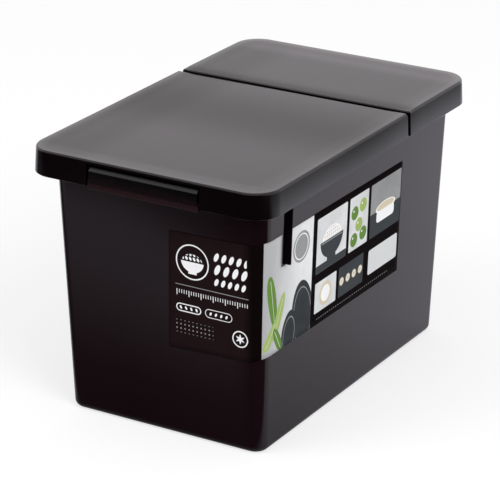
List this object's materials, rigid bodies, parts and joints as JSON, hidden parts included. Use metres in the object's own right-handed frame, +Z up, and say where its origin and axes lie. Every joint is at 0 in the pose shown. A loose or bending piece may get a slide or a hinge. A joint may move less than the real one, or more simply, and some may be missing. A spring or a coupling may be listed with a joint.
{
  "type": "rice storage container",
  "caption": "Drafted lidded bin for storing rice, with a hinged front lid, a latch in its skirt, soft seals under the lid, a printed sleeve round one corner and a loose measuring cup inside.",
  "frame": {"origin": "under the centre of the lid's plan, on the surface the bin stands on", "axes": "+Z up, -Y towards the latch, +X to the right of someone who faces the latch side"},
  "size_m": [0.2016, 0.3174, 0.2105],
  "materials": {
    "bin_plastic": "glossy near-black brown",
    "lid_plastic": "satin near-black",
    "latch_plastic": "satin near-black",
    "seal_rubber": "soft matt pale grey",
    "cup_plastic": "smooth off-white",
    "sleeve_card": "coated printed card"
  },
  "bodies": {
    "bin": {"bin_body": "bin_plastic", "label": "sleeve_card"},
    "cover": {"rear_cover": "lid_plastic", "rear_gasket": "seal_rubber"},
    "lid": {"front_lid": "lid_plastic", "lid_gasket": "seal_rubber"},
    "latch": {"front_latch": "latch_plastic"},
    "cup": {"measuring_cup": "cup_plastic"}
  },
  "joints": [
    {"name": "cover_lift", "type": "slide", "parent": "bin", "child": "cover", "axis": [0, 0, 1], "range_m": [0, 0.1]},
    {"name": "lid_hinge", "type": "hinge", "parent": "cover", "child": "lid", "pos_m": [0, 0.0469, 0.2055], "axis": [-1, 0, 0], "range_deg": [0, 100]},
    {"name": "latch_hinge", "type": "hinge", "parent": "lid", "child": "latch", "pos_m": [0, -0.1536, 0.204], "axis": [-1, 0, 0], "range_deg": [0, 50]},
    {"name": "cup_lift", "type": "slide", "parent": "bin", "child": "cup", "axis": [0, 0, 1], "range_m": [0, 0.1]}
  ]
}
